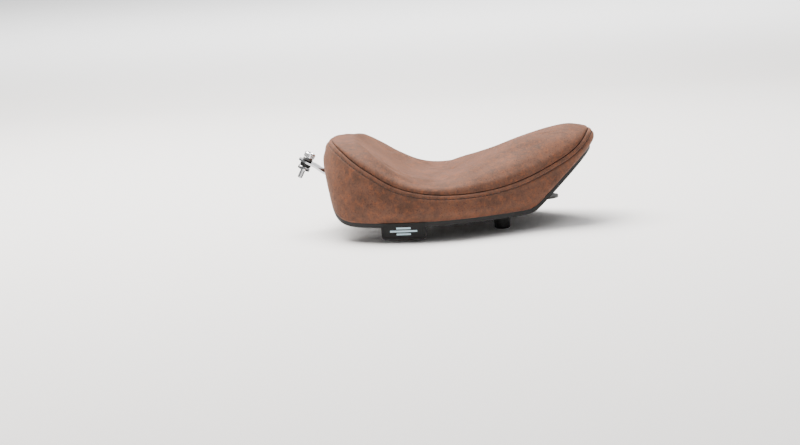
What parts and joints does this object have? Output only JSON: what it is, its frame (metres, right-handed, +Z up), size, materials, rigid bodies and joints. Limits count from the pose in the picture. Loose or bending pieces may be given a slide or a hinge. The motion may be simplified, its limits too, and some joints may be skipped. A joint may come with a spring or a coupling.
{
  "type": "motorcycle seat",
  "caption": "Low solo motorcycle seat: padded, sewn cover on a moulded pan, with front tongue, rear strap and thumb knob, rubber feet and a plain tag.",
  "frame": {"origin": "bottom centre of the bounding box, on the plane of the rubber feet", "axes": "+X towards the nose (front of the motorcycle), +Y to the rider's left, +Z up"},
  "size_m": [0.3896, 0.2592, 0.1232],
  "materials": {
    "cover_vinyl": "satin, distressed brown",
    "thread": "matt bonded thread",
    "foam": "moulded open-cell foam",
    "black_plastic": "fine-grained",
    "black_rubber": "satin",
    "felt": "needled felt",
    "zinc_steel": "zinc plated",
    "black_steel": "powder coated, satin",
    "black_bolt_steel": "black oxide",
    "polished_steel": "polished",
    "brass": "plain",
    "gray_nylon": "plain",
    "chrome": "bright",
    "tag_rubber": "matt, moulded",
    "tag_print": "printed"
  },
  "bodies": {
    "seat": {"top_panel": "cover_vinyl", "side_panel_left": "cover_vinyl", "side_panel_right": "cover_vinyl", "seam_thread": "thread", "foam_core": "foam", "base_pan": "black_plastic", "edge_trim": "black_rubber", "carpet_liner": "felt", "cover_staples": "zinc_steel", "front_bracket": "black_steel", "front_bracket_bolts": "black_bolt_steel", "front_bracket_washers": "zinc_steel", "front_bracket_tee_nuts": "zinc_steel", "rear_strap": "polished_steel", "rear_strap_bolts": "black_bolt_steel", "rear_strap_washers": "zinc_steel", "rear_strap_tee_nuts": "zinc_steel", "bumper_front_left": "black_rubber", "bumper_front_right": "black_rubber", "bumper_rear_left": "black_rubber", "bumper_rear_right": "black_rubber", "bumper_screws": "zinc_steel", "bumper_inserts": "brass", "strap_grommet": "black_rubber", "grommet_cup": "polished_steel", "tag_body": "tag_rubber", "tag_emblem": "tag_print"},
    "knob_slide": {"knob_washer": "gray_nylon"},
    "knob": {"thumb_knob": "chrome", "knob_stud": "zinc_steel"}
  },
  "joints": [
    {"name": "knob_lift", "type": "slide", "parent": "seat", "child": "knob_slide", "axis": [0.4695, 0, 0.8829], "range_m": [0, 0.00635]},
    {"name": "knob_turn", "type": "hinge", "parent": "knob_slide", "child": "knob", "pos_m": [-0.18152, 0, 0.09208], "axis": [0.4695, 0, 0.8829], "range_deg": [0, 1800]}
  ],
  "couplings": [
    {"joint": "knob_lift", "follows": "knob_turn", "m_per_rad": 0.00020213}
  ]
}
